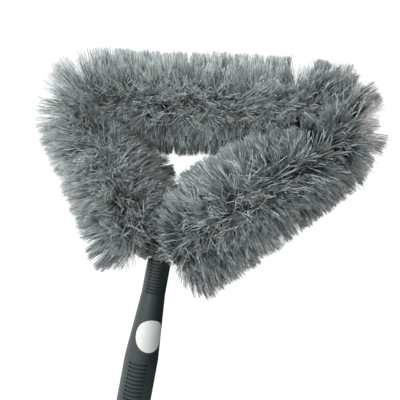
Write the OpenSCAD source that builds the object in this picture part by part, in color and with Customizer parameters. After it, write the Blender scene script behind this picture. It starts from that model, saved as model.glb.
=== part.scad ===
// Cobweb brush: a twisted-wire brush bent into a rounded triangle, on a moulded handle that screws on a pole.
// Millimetres. The origin is on the pole socket's axis, where its wall begins just inside the mouth.
// +Z runs up the handle to the brush.
// The brush is looked at along +Y: +X is its long corner, -X its short one.

/* [Handle] */
// Length of the handle from its foot to the neck's rim
handle_len = 192; // [170:1:240]
// Diameter of the neck
neck_d = 22.5; // [21.5:0.5:28]
// Length of the ribbed neck
neck_len = 32; // [24:1:36]
// Length of the smooth flare between the neck and the grip
flare_len = 62; // [45:1:75]
// Diameter of the grip
grip_d = 32; // [30:0.5:38]
// Plain collar left below the grip's last rib
collar_len = 12; // [8:1:20]
// Rounding of the neck's rim
rim_round = 1; // [0.5:0.1:1.5]
// Chamfer round the foot of the grip
foot_chamfer = 1.5; // [0.5:0.1:2]

/* [Grip ribs] */
// Distance from one groove of the neck to the next
neck_rib_pitch = 2.95; // [2.8:0.05:4]
// Distance from one groove of the grip to the next
grip_rib_pitch = 3.65; // [3.2:0.01:5]
// Depth of a groove
groove_depth = 1; // [0.5:0.05:1.3]
// Width of a groove at the surface
groove_w = 1.7; // [1.4:0.1:2.4]
// Width of a groove at its floor
groove_floor_w = 0.8; // [0.5:0.1:1.3]
// Number of ribbed panels round the handle
panel_count = 3; // [2:1:5]
// Share of the way round that each panel's ribs take up
panel_fill = 0.55; // [0.4:0.05:0.8]
// How far the front panel is turned from the front
panel_turn = -3; // [-30:1:30]
// Smooth band between the rim and the neck's first groove
neck_band = 3; // [2:0.5:5]

/* [Pole socket] */
// Diameter of the threaded hole for the pole
socket_d = 20.5; // [18:0.5:23]
// Length of the threaded hole's wall
socket_len = 37; // [30:1:50]
// Chamfer at the mouth of the socket
socket_chamfer = 1.2; // [0.5:0.1:2]
// Width of the shoulder between the socket and the moulding's core above it
core_step = 1.25; // [0.5:0.25:3]
// Diameter of the moulding's core at its top
core_top_d = 12; // [9:0.5:13]
// Thickness of the solid web between the core and the neck's bore
web_len = 14; // [8:1:20]

/* [Neck plug] */
// Diameter of the plug
plug_d = 16.4; // [16.2:0.1:17.5]
// How deep the plug sits in the neck
plug_depth = 30; // [20:1:36]
// How far the plug stands out of the neck
plug_proud = 3; // [2:0.5:5]
// Chamfer of the plug's two ends
plug_chamfer = 0.8; // [0.4:0.1:1]
// Distance between the two twisted stems in the plug
stem_gap = 8.4; // [8.2:0.1:9]
// How far the wires run on below the plug
wire_tail = 4; // [2:1:8]

/* [Core wires] */
// Diameter of one wire
wire_d = 2.4; // [2:0.1:2.5]
// Space between the two wires, where the bristles are nipped
wire_nip = 0.5; // [0.45:0.05:0.6]
// Length in which the pair makes one turn
twist_pitch = 18; // [16:1:24]
// Radius of the bends where the stems leave the plug
exit_bend_r = 6; // [5:0.5:7]

/* [Loop] */
// Sideways place of the short leg's knee, where its stem turns up into the leg
left_knee_x = -20; // [-26:1:-16]
// Height of that knee above the point where the stem bends out of the plug
left_knee_rise = 4.5; // [3:0.5:10]
// Sideways place of the long leg's knee
right_knee_x = 15; // [14:1:22]
// Height of that knee above the point where the stem bends out of the plug
right_knee_rise = 2.5; // [2:0.5:8]
// How far the long leg's knee lies to the front
right_knee_front = 5; // [3:1:7]
// Bend radius of the knees
knee_bend_r = 10; // [6:0.5:11]
// Sideways place of the short corner
left_x = -99; // [-105:1:-80]
// Height of the short corner above the rim
left_rise = 136; // [125:1:150]
// How far the short corner lies back
left_back = 6; // [0:1:15]
// Bend radius of the short corner
left_bend_r = 10; // [9:0.5:16]
// Sideways place of the long corner
right_x = 175; // [165:1:195]
// Height of the long corner above the rim
right_rise = 175; // [165:1:195]
// How far the long corner lies to the front
right_front = 6; // [0:1:15]
// Bend radius of the long corner
right_bend_r = 19; // [15:0.5:24]
// How far the right leg bows to the front
bow_front = 30; // [15:1:35]
// Radius of that bow
bow_r = 200; // [120:5:220]
// Bare length of each leg between its knee and the bristles
bare_len = 1; // [0.5:0.5:10]

/* [Bristles] */
// Reach of the bristles from the middle of the wires
bristle_reach = 52; // [44:0.5:53]
// Reach of the bristles that point into the loop
inner_reach = 48; // [40:0.5:50]
// How much the reach of single strands varies
reach_spread = 3; // [0:0.5:4]
// Distance between rows of strands along a leg
row_pitch = 11.4; // [11:0.1:14]
// Distance between rows of strands round the short corner
left_row_pitch = 2.1; // [1.9:0.1:3]
// Distance between rows of strands round the long corner
right_row_pitch = 3.9; // [3.5:0.1:5]
// Width of a strand's foot along the wires
foot_w = 2.2; // [1.6:0.1:2.6]
// Width of a long strand where it is widest
strand_w = 4.2; // [2:0.1:4.6]
// Width of a long strand at its tip
tip_w = 1.4; // [0.8:0.1:2]
// Wall of the packed bristle roots round the wires
root_wall = 1.6; // [1.2:0.1:2]

/* [Label] */
// Diameter of the round sticker
label_d = 29.5; // [24:0.5:34]
// Thickness of the sticker
label_t = 0.25; // [0.2:0.05:0.5]
// Height of the sticker's lower edge above the foot of the flare
label_rise = 10; // [2:0.5:14]
// How far round the handle the sticker sits from the front
label_turn = 24; // [-30:1:40]

/* [Hidden] */
$fn = 96;

// Clearances between pieces that seat in each other
plug_clearance = 0.15;
stem_clearance = 0.2;
root_clearance = 0.35;
slice_gap = 0.2;
label_clearance = 0.02;
opening_lap = 0.01;

// Heights of the handle's stations, from its foot up. The socket's wall begins at zero.
handle_foot_z = -socket_chamfer;
rim_z = handle_foot_z + handle_len;
neck_foot_z = rim_z - neck_len;
flare_foot_z = neck_foot_z - flare_len;
plug_foot_z = rim_z - plug_depth;
neck_bore_foot_z = plug_foot_z - wire_tail - plug_clearance - wire_d;
core_top_z = neck_bore_foot_z - web_len;
core_low_d = socket_d - 2 * core_step;
plug_top_z = rim_z + plug_proud;
bore_r = plug_d / 2 + plug_clearance;
panel_angle = 360 / panel_count * panel_fill;

// The twisted pair: distance of each wire from the middle, and the circle that holds both
wire_offset = (wire_d + wire_nip) / 2;
pair_r = wire_offset + wire_d / 2;

// Steep bends near the plug start just above it: the half-angle of the steeper one has a tangent below this
exit_tangent = 0.95;
exit_z = plug_top_z + exit_bend_r * exit_tangent;

// Sides of the packed root tube, of a strand and of a wire, and rings in one turn of the twist
root_sides = 8;
strand_corners = 3;
wire_sides = 6;
rings_per_turn = 8;
root_in_r = (pair_r + root_clearance) / cos(180 / root_sides);
root_out_r = root_in_r + root_wall;
row_turn = 180 / root_sides;

// Most of the distance between two rows that a foot may take up
foot_most = 0.6;
// Where a strand is widest, as a share of its free length
widest_share = 0.75;
// Share of the way to the next stretch of core that a strand may take up
cell_share = 0.86;
// Strands shorter than this many times the packed roots' radius are left out
least_reach_share = 2.2;
least_reach = least_reach_share * root_out_r;
// Round a bend, strands keep this share of a leg's row pitch, measured at this share of their reach
bend_share = 0.6;
bend_look = 0.7;
// Least that the rows draw together towards the inside of a bend
least_spread = 1 / 3;
// Radius that stands for a straight leg
straight_r = 1e6;
// Seed of the strands' reach
reach_seed = 7;
// Step round the wires, in places of a row, by which the strands that stay move on from place to place
place_hop = 3;
// Half the length of wire over which its direction is taken
dir_reach = 0.05;

FRONT = [0, -1, 0];

// Route of the wires' middle line: straight stretches between these points, each inner point rounded
route = [
    [-stem_gap / 2, 0, plug_foot_z - wire_tail],
    [-stem_gap / 2, 0, exit_z],
    [left_knee_x, 0, exit_z + left_knee_rise],
    [left_x, left_back, rim_z + left_rise],
    [right_x, -right_front, rim_z + right_rise],
    [(right_x + stem_gap / 2) / 2, -bow_front, (rim_z + right_rise + exit_z) / 2],
    [right_knee_x, -right_knee_front, exit_z + right_knee_rise],
    [stem_gap / 2, 0, exit_z],
    [stem_gap / 2, 0, plug_foot_z - wire_tail]
];
route_r = [
    0, exit_bend_r, knee_bend_r, left_bend_r, right_bend_r, bow_r, knee_bend_r, exit_bend_r, 0
];
last = len(route) - 1;

function unit(v) = v / norm(v);
function total(list, upto) = upto <= 0 ? 0 : list[upto - 1] + total(list, upto - 1);

// Direction of each straight stretch, turn at each point and what the rounding takes from each stretch
run_dir = [for (i = [0 : last - 1]) unit(route[i + 1] - route[i])];
turn = [for (i = [0 : last]) i == 0 || i == last ? 0 : acos(run_dir[i - 1] * run_dir[i])];
trim = [for (i = [0 : last]) route_r[i] * tan(turn[i] / 2)];
// Lengths in order of travel: stretch 0, bend 1, stretch 1, bend 2 and so on
run_len = [for (i = [0 : last - 1]) norm(route[i + 1] - route[i]) - trim[i] - trim[i + 1]];
bend_len = [for (i = [0 : last]) route_r[i] * turn[i] * PI / 180];
// Distance along the wires at which each stretch starts, and at which each bend starts
run_start = [for (i = [0 : last - 1]) total(run_len, i) + total(bend_len, i + 1)];
bend_start = [for (i = [0 : last]) i == 0 ? 0 : run_start[i - 1] + run_len[i - 1]];
wire_len = bend_start[last];

// Stretch or bend that holds a distance s along the wires
function stretch_at(s, i = 0) = i >= last - 1 || s < run_start[i + 1] ? i : stretch_at(s, i + 1);

// Middle line of the wires at a distance s, and its direction there
function on_bend(s, i) = s > bend_start[i + 1] && i < last - 1;
function bend_angle(s, i) = (s - bend_start[i + 1]) / route_r[i + 1] * 180 / PI;
function bend_inward(i) = unit(run_dir[i + 1] - run_dir[i] * (run_dir[i] * run_dir[i + 1]));
function core_point(s, i) =
    on_bend(s, i)
    ? route[i + 1] - run_dir[i] * trim[i + 1]
        + route_r[i + 1] * (run_dir[i] * sin(bend_angle(s, i)) + bend_inward(i) * (1 - cos(bend_angle(s, i))))
    : route[i] + run_dir[i] * (trim[i] + s - run_start[i]);
function core_dir(s, i) =
    on_bend(s, i)
    ? run_dir[i] * cos(bend_angle(s, i)) + bend_inward(i) * sin(bend_angle(s, i))
    : run_dir[i];
function point_at(s) = core_point(s, stretch_at(s));
function dir_at(s) = core_dir(s, stretch_at(s));

// Two directions square to the wires: out of the loop, and towards the front
function out_at(s) = unit(cross(dir_at(s), -FRONT));
function front_at(s) = cross(dir_at(s), out_at(s));
function round_at(s, angle) = out_at(s) * cos(angle) + front_at(s) * sin(angle);

// The bristles' slices: [start, end, distance between rows]. A leg ends where its bend starts.
fill_start = run_start[2] + bare_len;
fill_end = bend_start[6] - bare_len;
left_bend_start = bend_start[3];
left_bend_end = run_start[3];
right_bend_start = bend_start[4];
right_bend_end = run_start[4];
LEFT_LEG = [fill_start, left_bend_start - slice_gap, row_pitch];
LEFT_CORNER = [left_bend_start, left_bend_end, left_row_pitch];
TOP_LEG = [left_bend_end + slice_gap, right_bend_start - slice_gap, row_pitch];
RIGHT_CORNER = [right_bend_start, right_bend_end, right_row_pitch];
RIGHT_LEG = [right_bend_end + slice_gap, fill_end, row_pitch];

function row_count(slice) = max(1, round((slice[1] - slice[0]) / slice[2]));
function row_step(slice) = (slice[1] - slice[0]) / row_count(slice);
function row_s(slice, i) = slice[0] + (i + 0.5) * row_step(slice);
function foot_len(slice) = min(foot_w, foot_most * row_step(slice));

// Points along the wires that a strand is measured against, with their spacing
look_step = 5;
look_points = [for (s = [run_start[1] : look_step : bend_start[7]]) point_at(s)];

// How far a strand from c along d may go before another part of the wires is nearer than its own foot
open_reach = 1000;
function cell_reach(c, d) = min([
    open_reach,
    for (q = look_points)
        let (v = q - c, ahead = d * v)
        if (ahead > 0) v * v / (2 * ahead)
]);
function inward_share(angle) = max(0, -cos(angle));
function free_reach(angle, jitter) =
    bristle_reach - (bristle_reach - inner_reach) * inward_share(angle) - reach_spread * jitter;
function strand_reach(s, angle, jitter) =
    let (c = point_at(s), d = round_at(s, angle), cell = cell_reach(c, d))
    cell * cell_share < free_reach(angle, jitter) ? cell * cell_share : free_reach(angle, jitter);

// Strands stand closer where a bend draws them together, so some places there stay empty
function bend_radius(s) =
    let (i = stretch_at(s))
    on_bend(s, i) ? route_r[i + 1] : straight_r;
function stride(slice, angle, s) =
    let (spread = 1 + bend_look * bristle_reach * cos(angle) / bend_radius(s))
    max(1, ceil(bend_share * row_pitch / row_step(slice) / max(spread, least_spread)));

// A ring of points round the wires
function ring(s, radius, phase, sides) = [
    for (k = [0 : sides - 1]) point_at(s) + radius * round_at(s, phase + k * 360 / sides)
];
function joined(lists) = [for (list = lists) for (item = list) item];

// Faces between rings that start at a and b, with the points straight over each other or half a step on
function straight_band(a, b, sides) = joined([
    for (k = [0 : sides - 1])
        let (n = (k + 1) % sides)
        [[a + k, a + n, b + n], [a + k, b + n, b + k]]
]);
function down_face(a, b, k, sides) = [b + k, a + (k + 1) % sides, b + (k + 1) % sides];
function up_face(a, b, k, sides) = [a + k, a + (k + 1) % sides, b + k];
function turned_band(a, b, sides) = joined([
    for (k = [0 : sides - 1]) [up_face(a, b, k, sides), down_face(a, b, k, sides)]
]);
function flipped(faces) = [for (f = faces) [f[2], f[1], f[0]]];

// Each strand stands for a tuft of fine bristles, which fans out from its foot and draws in to a tip.
// A short strand is thinner in the same measure.
function slimmed(width, reach) = width * reach / bristle_reach;

// Three points round a strand at distance t from the wires
function strand_ring(s, angle, t, width) =
    let (
        c = point_at(s) + t * round_at(s, angle),
        side = round_at(s, angle + 90),
        w = width / sqrt(3)
    )
    [
        c - side * w * sin(60) - dir_at(s) * w / 2,
        c + side * w * sin(60) - dir_at(s) * w / 2,
        c + dir_at(s) * w
    ];

// One slice of the filling: the packed roots as a tube round the wires, with strands growing out of it.
// Each row of strands is turned by half a step from the one before, as the twist of the wires lays them.
module bristle_slice(slice) {
    rows = row_count(slice);
    foot = foot_len(slice);
    jitter = rands(0, 1, rows * root_sides, reach_seed);
    strands = [
        for (i = [0 : rows - 1])
            for (k = [0 : root_sides - 1])
                let (
                    s = row_s(slice, i),
                    angle = row_turn * (i + 1) + k * 2 * row_turn,
                    reach = strand_reach(s, angle, jitter[i * root_sides + k])
                )
                if (reach > least_reach && (i + k * place_hop) % stride(slice, angle, s) == 0)
                    [i, k, s, angle, reach]
    ];
    // Skin rings: slice start, two for each row, slice end. Bore rings: one at each end and one between rows.
    skin = concat(
        ring(slice[0], root_out_r, 0, root_sides),
        joined([
            for (i = [0 : rows - 1])
                concat(
                    ring(row_s(slice, i) - foot / 2, root_out_r, row_turn * i, root_sides),
                    ring(row_s(slice, i) + foot / 2, root_out_r, row_turn * (i + 1), root_sides)
                )
        ]),
        ring(slice[1], root_out_r, row_turn * rows, root_sides)
    );
    bore = joined([
        for (i = [0 : rows]) ring(slice[0] + i * row_step(slice), root_in_r, row_turn * i, root_sides)
    ]);
    strand_points = joined([
        for (p = strands)
            concat(
                strand_ring(
                    p[2], p[3], root_out_r + widest_share * (p[4] - root_out_r), slimmed(strand_w, p[4])
                ),
                strand_ring(p[2], p[3], p[4], slimmed(tip_w, p[4]))
            )
    ]);
    bore_at = len(skin);
    strand_at = bore_at + len(bore);
    grown = [for (p = strands) p[0] * root_sides + p[1]];
    function skin_ring(n) = n * root_sides;
    function up(i, k) = up_face(skin_ring(1 + 2 * i), skin_ring(2 + 2 * i), k, root_sides);
    function down(i, k) = down_face(skin_ring(1 + 2 * i), skin_ring(2 + 2 * i), k, root_sides);
    function plain(i, k) = len(search(i * root_sides + k, grown)) == 0;
    outward = concat(
        joined([for (i = [0 : rows]) straight_band(skin_ring(2 * i), skin_ring(2 * i + 1), root_sides)]),
        [for (i = [0 : rows - 1]) for (k = [0 : root_sides - 1]) down(i, k)],
        [for (i = [0 : rows - 1]) for (k = [0 : root_sides - 1]) if (plain(i, k)) up(i, k)],
        joined([
            for (m = [0 : len(strands) - 1])
                let (
                    a = strand_at + 2 * strand_corners * m,
                    low = [a, a + 1, a + 2],
                    top = [for (p = low) p + strand_corners]
                )
                concat(strand_sides(up(strands[m][0], strands[m][1]), low), strand_sides(low, top), [top])
        ])
    );
    inward = joined([
        for (i = [0 : rows - 1])
            turned_band(bore_at + i * root_sides, bore_at + (i + 1) * root_sides, root_sides)
    ]);
    start_cap = straight_band(0, bore_at, root_sides);
    end_cap = straight_band(skin_ring(2 * rows + 1), bore_at + rows * root_sides, root_sides);
    echo(strands = len(strands), faces = len(outward) + len(inward) + len(start_cap) + len(end_cap));
    polyhedron(
        points = concat(skin, bore, strand_points),
        faces = concat(flipped(outward), inward, start_cap, flipped(end_cap))
    );
}

// Side faces of a strand between two triangles
function strand_sides(a, b) = joined([
    for (k = [0 : strand_corners - 1])
        let (n = (k + 1) % strand_corners)
        [[a[k], a[n], b[n]], [a[k], b[n], b[k]]]
]);

// Middle line of one wire: it winds round the pair's middle
function wire_angle(s, side) = 360 * s / twist_pitch + 180 * side;
function wire_point(s, side) = point_at(s) + wire_offset * round_at(s, wire_angle(s, side));
wire_step = twist_pitch / rings_per_turn;
wire_rings = ceil(wire_len / wire_step);
function wire_s(i) = min(wire_len, i * wire_len / wire_rings);
function wire_dir(s, side) =
    let (low = max(0, s - dir_reach), high = min(wire_len, s + dir_reach))
    unit(wire_point(high, side) - wire_point(low, side));
function wire_ring(s, side) =
    let (
        t = wire_dir(s, side),
        r = round_at(s, wire_angle(s, side)),
        u = unit(r - t * (r * t)),
        v = cross(t, u)
    )
    [
        for (k = [0 : wire_sides - 1])
            wire_point(s, side) + wire_d / 2 * (u * cos(k * 360 / wire_sides) + v * sin(k * 360 / wire_sides))
    ];

// Least gap of a wire to itself, half a turn on and further, and to the other wire
line_a = [for (i = [0 : wire_rings]) wire_point(wire_s(i), 0)];
line_b = [for (i = [0 : wire_rings]) wire_point(wire_s(i), 1)];
near = rings_per_turn / 2;
self_gaps = [
    for (i = [0 : wire_rings])
        for (j = [i + near : 1 : wire_rings])
            norm(line_a[i] - line_a[j]) - wire_d
];
pair_gaps = [
    for (i = [0 : wire_rings])
        for (j = [max(0, i - near) : min(wire_rings, i + near)])
            norm(line_a[i] - line_b[j]) - wire_d
];

module core_wire(side) {
    points = joined([for (i = [0 : wire_rings]) wire_ring(wire_s(i), side)]);
    end = wire_rings * wire_sides;
    skin = joined([
        for (i = [0 : wire_rings - 1]) straight_band(i * wire_sides, (i + 1) * wire_sides, wire_sides)
    ]);
    foot = [for (k = [1 : wire_sides - 2]) [0, k, k + 1]];
    head = [for (k = [1 : wire_sides - 2]) [end, end + k + 1, end + k]];
    polyhedron(points = points, faces = concat(flipped(skin), foot, head));
}

module core_wire_a() {
    echo(least_gap_of_a_wire_to_itself = min(self_gaps), least_gap_between_the_wires = min(pair_gaps));
    color("silver") core_wire(0);
}

module core_wire_b() {
    color("silver") core_wire(1);
}

module bristles_left_leg() {
    color("slategray") bristle_slice(LEFT_LEG);
}

module bristles_left_corner() {
    color("slategray") bristle_slice(LEFT_CORNER);
}

module bristles_top_leg() {
    color("slategray") bristle_slice(TOP_LEG);
}

module bristles_right_corner() {
    color("slategray") bristle_slice(RIGHT_CORNER);
}

module bristles_right_leg() {
    color("slategray") bristle_slice(RIGHT_LEG);
}

// Radius of the handle's smooth outside at a height on the flare
function flare_r(z) = neck_d / 2 + (grip_d - neck_d) / 2 * (neck_foot_z - z) / flare_len;

// Grooves of one run of ribs: sectors of a ring, cut into each panel
module rib_grooves(first_z, pitch, count, surface_r) {
    for (i = [0 : count - 1])
        for (p = [0 : panel_count - 1])
            translate([0, 0, first_z - i * pitch])
                rotate([0, 0, 270 + panel_turn - panel_angle / 2 + p * 360 / panel_count])
                    rotate_extrude(angle = panel_angle)
                        polygon([
                            [surface_r - groove_depth, -groove_floor_w / 2],
                            [surface_r + groove_depth, -groove_w + groove_floor_w / 2],
                            [surface_r + groove_depth, groove_w - groove_floor_w / 2],
                            [surface_r - groove_depth, groove_floor_w / 2]
                        ]);
}

module handle_outside() {
    rotate_extrude()
        polygon([
            [0, handle_foot_z],
            [grip_d / 2 - foot_chamfer, handle_foot_z],
            [grip_d / 2, handle_foot_z + foot_chamfer],
            [grip_d / 2, flare_foot_z],
            [neck_d / 2, neck_foot_z],
            [neck_d / 2, rim_z - rim_round],
            for (a = [15 : 15 : 90])
                [neck_d / 2 - rim_round + rim_round * cos(a), rim_z - rim_round + rim_round * sin(a)],
            [0, rim_z]
        ]);
}

// Pole socket, the tapered core above it and the neck's bore for the plug
module handle_bores() {
    translate([0, 0, handle_foot_z - opening_lap])
        cylinder(h = socket_len - handle_foot_z + opening_lap, d = socket_d);
    translate([0, 0, handle_foot_z - opening_lap])
        cylinder(h = socket_chamfer + opening_lap, d1 = socket_d + 2 * socket_chamfer, d2 = socket_d);
    translate([0, 0, socket_len - opening_lap])
        cylinder(h = core_top_z - socket_len + opening_lap, d1 = core_low_d, d2 = core_top_d);
    translate([0, 0, neck_bore_foot_z])
        cylinder(h = rim_z - neck_bore_foot_z + opening_lap, r = bore_r);
}

module handle_body() {
    neck_grooves = floor((neck_len - neck_band - groove_w / 2) / neck_rib_pitch) + 1;
    grip_grooves = floor((flare_foot_z - handle_foot_z - collar_len - groove_w) / grip_rib_pitch);
    color("darkslategray")
        difference() {
            handle_outside();
            handle_bores();
            rib_grooves(rim_z - neck_band, neck_rib_pitch, neck_grooves, neck_d / 2);
            rib_grooves(flare_foot_z - grip_rib_pitch / 2, grip_rib_pitch, grip_grooves, grip_d / 2);
        }
}

module neck_plug() {
    stem_hole_r = pair_r + stem_clearance;
    color("dimgray")
        difference() {
            rotate_extrude()
                polygon([
                    [0, plug_foot_z],
                    [plug_d / 2 - plug_chamfer, plug_foot_z],
                    [plug_d / 2, plug_foot_z + plug_chamfer],
                    [plug_d / 2, plug_top_z - plug_chamfer],
                    [plug_d / 2 - plug_chamfer, plug_top_z],
                    [0, plug_top_z]
                ]);
            for (side = [-1, 1])
                translate([side * stem_gap / 2, 0, plug_foot_z - opening_lap])
                    cylinder(h = plug_top_z - plug_foot_z + 2 * opening_lap, r = stem_hole_r);
        }
}

// A round sticker wrapped on the flare: its edge is a circle on the unrolled surface
label_z = flare_foot_z + label_rise + label_d / 2;
label_points = 72;
function wrapped(a) =
    let (rise = label_d / 2 * sin(a), r = flare_r(label_z + rise) + label_clearance)
    [r * sin(label_d / 2 * cos(a) / r * 180 / PI), rise];

module round_label() {
    low = flare_foot_z;
    high = neck_foot_z;
    color("white")
        intersection() {
            rotate_extrude()
                polygon([
                    [flare_r(low) + label_clearance, low],
                    [flare_r(low) + label_clearance + label_t, low],
                    [flare_r(high) + label_clearance + label_t, high],
                    [flare_r(high) + label_clearance, high]
                ]);
            rotate([0, 0, label_turn])
                translate([0, 0, label_z])
                    rotate([90, 0, 0])
                        linear_extrude(grip_d)
                            polygon([for (i = [0 : label_points - 1]) wrapped(i * 360 / label_points)]);
        }
}

handle_body();
neck_plug();
core_wire_a();
core_wire_b();
bristles_left_leg();
bristles_left_corner();
bristles_top_leg();
bristles_right_corner();
bristles_right_leg();
round_label();
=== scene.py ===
import math
from types import SimpleNamespace

import bpy
import numpy as np
from mathutils import Matrix, Vector


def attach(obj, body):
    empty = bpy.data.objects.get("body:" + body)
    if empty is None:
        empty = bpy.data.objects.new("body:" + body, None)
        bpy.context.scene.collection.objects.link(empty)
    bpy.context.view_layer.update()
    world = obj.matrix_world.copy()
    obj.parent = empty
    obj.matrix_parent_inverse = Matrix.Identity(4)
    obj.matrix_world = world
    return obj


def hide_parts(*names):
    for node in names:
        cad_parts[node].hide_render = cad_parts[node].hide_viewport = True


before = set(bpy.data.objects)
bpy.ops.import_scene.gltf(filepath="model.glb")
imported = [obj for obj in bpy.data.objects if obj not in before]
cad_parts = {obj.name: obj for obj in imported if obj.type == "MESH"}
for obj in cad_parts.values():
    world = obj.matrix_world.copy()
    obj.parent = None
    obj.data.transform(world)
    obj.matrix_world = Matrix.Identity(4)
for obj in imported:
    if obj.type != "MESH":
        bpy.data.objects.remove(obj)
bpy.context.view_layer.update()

# The handle: one hollow moulding of polypropylene, dyed slate grey. The mould's ribs give grip on the neck
# and the lower half, and its spark-worn wall leaves a fine satin grain. The brush is pressed into its neck.
MM = 0.001
HANDLE_SLATE = "#131e22"
HANDLE_SLATE_LIGHT = "#1c282b"
HANDLE_RUBBED = "#3c4d51"
GRAIN_MM = 0.5
RUB_MM = 3
FLOW_MARK_MM = 22
POLYPROPYLENE_IOR = 1.49


def colour(hex_code):
    """Linear red, green, blue and alpha of an sRGB hex value."""
    parts = [int(hex_code[i:i + 2], 16) / 255 for i in (1, 3, 5)]
    return [p / 12.92 if p <= 0.04045 else ((p + 0.055) / 1.055) ** 2.4 for p in parts] + [1.0]


def add(tree, kind, sockets=None, **settings):
    """Adds a node. A socket takes a value, or the output socket that it comes from."""
    node = tree.nodes.new(kind)
    for name, value in settings.items():
        setattr(node, name, value)
    for name, value in (sockets or {}).items():
        if isinstance(value, bpy.types.NodeSocket):
            tree.links.new(value, node.inputs[name])
        else:
            node.inputs[name].default_value = value
    return node


def start_material(name):
    material = bpy.data.materials.new(name)
    material.use_nodes = True
    material.node_tree.nodes.clear()
    return material, material.node_tree


def moulded_polypropylene(name):
    """Satin, slightly waxy plastic: soft wide highlights, a fine grain, cloudy flow marks, rubbed spots."""
    material, tree = start_material(name)
    place = add(tree, "ShaderNodeTexCoord").outputs["Object"]
    grain = add(tree, "ShaderNodeTexNoise", {"Vector": place, "Scale": 1 / (GRAIN_MM * MM), "Detail": 2.0})
    flow = add(tree, "ShaderNodeTexNoise", {"Vector": place, "Scale": 1 / (FLOW_MARK_MM * MM), "Detail": 3.0})
    wear = add(tree, "ShaderNodeTexNoise", {"Vector": place, "Scale": 1 / (RUB_MM * MM), "Detail": 4.0})
    cloudy = add(tree, "ShaderNodeMix", {"Factor": flow.outputs["Fac"], "A": colour(HANDLE_SLATE),
                                         "B": colour(HANDLE_SLATE_LIGHT)}, data_type="RGBA")
    rub = add(tree, "ShaderNodeMapRange", {"Value": wear.outputs["Fac"], "From Min": 0.62, "From Max": 0.8,
                                           "To Max": 0.35})
    skin = add(tree, "ShaderNodeMix", {"Factor": rub.outputs["Result"], "A": cloudy.outputs["Result"],
                                       "B": colour(HANDLE_RUBBED)}, data_type="RGBA")
    satin = add(tree, "ShaderNodeMapRange", {"Value": grain.outputs["Fac"], "To Min": 0.3, "To Max": 0.44})
    bump = add(tree, "ShaderNodeBump", {"Height": grain.outputs["Fac"], "Strength": 0.25,
                                        "Distance": 0.05 * MM})
    shader = add(tree, "ShaderNodeBsdfPrincipled", {
        "Base Color": skin.outputs["Result"], "Roughness": satin.outputs["Result"],
        "Normal": bump.outputs["Normal"], "IOR": POLYPROPYLENE_IOR})
    add(tree, "ShaderNodeOutputMaterial", {"Surface": shader.outputs["BSDF"]})
    return material


def dress(node, material):
    """Gives a solid of the frame its material."""
    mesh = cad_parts[node].data
    for i in range(max(1, len(mesh.materials))):
        if i < len(mesh.materials):
            mesh.materials[i] = material
        else:
            mesh.materials.append(material)


handle_skin = moulded_polypropylene("polypropylene_moulded_slate")
dress("handle_body", handle_skin)

# The pole socket's thread: a coarse rounded ridge, moulded in one with the handle, that a pole's tip screws
# into. It winds five and a half times up the socket and fades out at both ends.
SOCKET_R_MM = 10.25
THREAD_PITCH_MM = 5.0
THREAD_TURNS = 5.5
THREAD_START_MM = 3.5
THREAD_HEIGHT_MM = 0.95
THREAD_HALF_W_MM = 1.15
THREAD_SUNK_MM = 0.15
THREAD_STEPS_PER_TURN = 40
THREAD_STEPS_ACROSS = 7
THREAD_FADE_POWER = 0.5
THREAD_CREST_POWER = 0.7


def mesh_piece(name, points, faces, material):
    """A smooth mesh object in metres from points in millimetres, riding on the one body."""
    mesh = bpy.data.meshes.new(name)
    mesh.from_pydata([[c * MM for c in p] for p in points], [], faces)
    mesh.polygons.foreach_set("use_smooth", [True] * len(mesh.polygons))
    mesh.materials.append(material)
    mesh.update()
    piece = bpy.data.objects.new(name, mesh)
    bpy.context.scene.collection.objects.link(piece)
    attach(piece, "root")
    return piece


def tube_faces(rings, sides):
    """The faces of a tube whose points come ring by ring, with a cap at each end."""
    faces = [
        [i * sides + j, i * sides + (j + 1) % sides, (i + 1) * sides + (j + 1) % sides, (i + 1) * sides + j]
        for i in range(rings - 1) for j in range(sides)]
    return faces + [list(range(sides))[::-1], [(rings - 1) * sides + j for j in range(sides)]]


def socket_thread():
    steps = int(THREAD_TURNS * THREAD_STEPS_PER_TURN)
    points = []
    for i in range(steps + 1):
        turn = i / THREAD_STEPS_PER_TURN
        fade = min(1.0, 2 * turn, 2 * (THREAD_TURNS - turn)) ** THREAD_FADE_POWER
        a = 2 * math.pi * turn
        middle = THREAD_START_MM + THREAD_PITCH_MM * turn
        for k in range(THREAD_STEPS_ACROSS + 1):
            t = k / THREAD_STEPS_ACROSS * 2 - 1
            ridge = max(0.0, math.cos(t * math.pi / 2)) ** THREAD_CREST_POWER
            r = SOCKET_R_MM + THREAD_SUNK_MM - (THREAD_HEIGHT_MM + THREAD_SUNK_MM) * fade * ridge
            points.append([r * math.cos(a), r * math.sin(a), middle + t * THREAD_HALF_W_MM])
    faces = tube_faces(steps + 1, THREAD_STEPS_ACROSS + 1)
    mesh_piece("socket_thread", points, faces, handle_skin)


socket_thread()

# The neck plug: a grey-brown disc of reground plastic, moulded round the two ends of the twisted wires and
# pressed into the handle's neck. It is duller than the handle and shows the specks of the regrind.
PLUG_BROWN = "#6b645a"
PLUG_SPECK = "#8c857a"
SPECK_MM = 1.2


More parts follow.
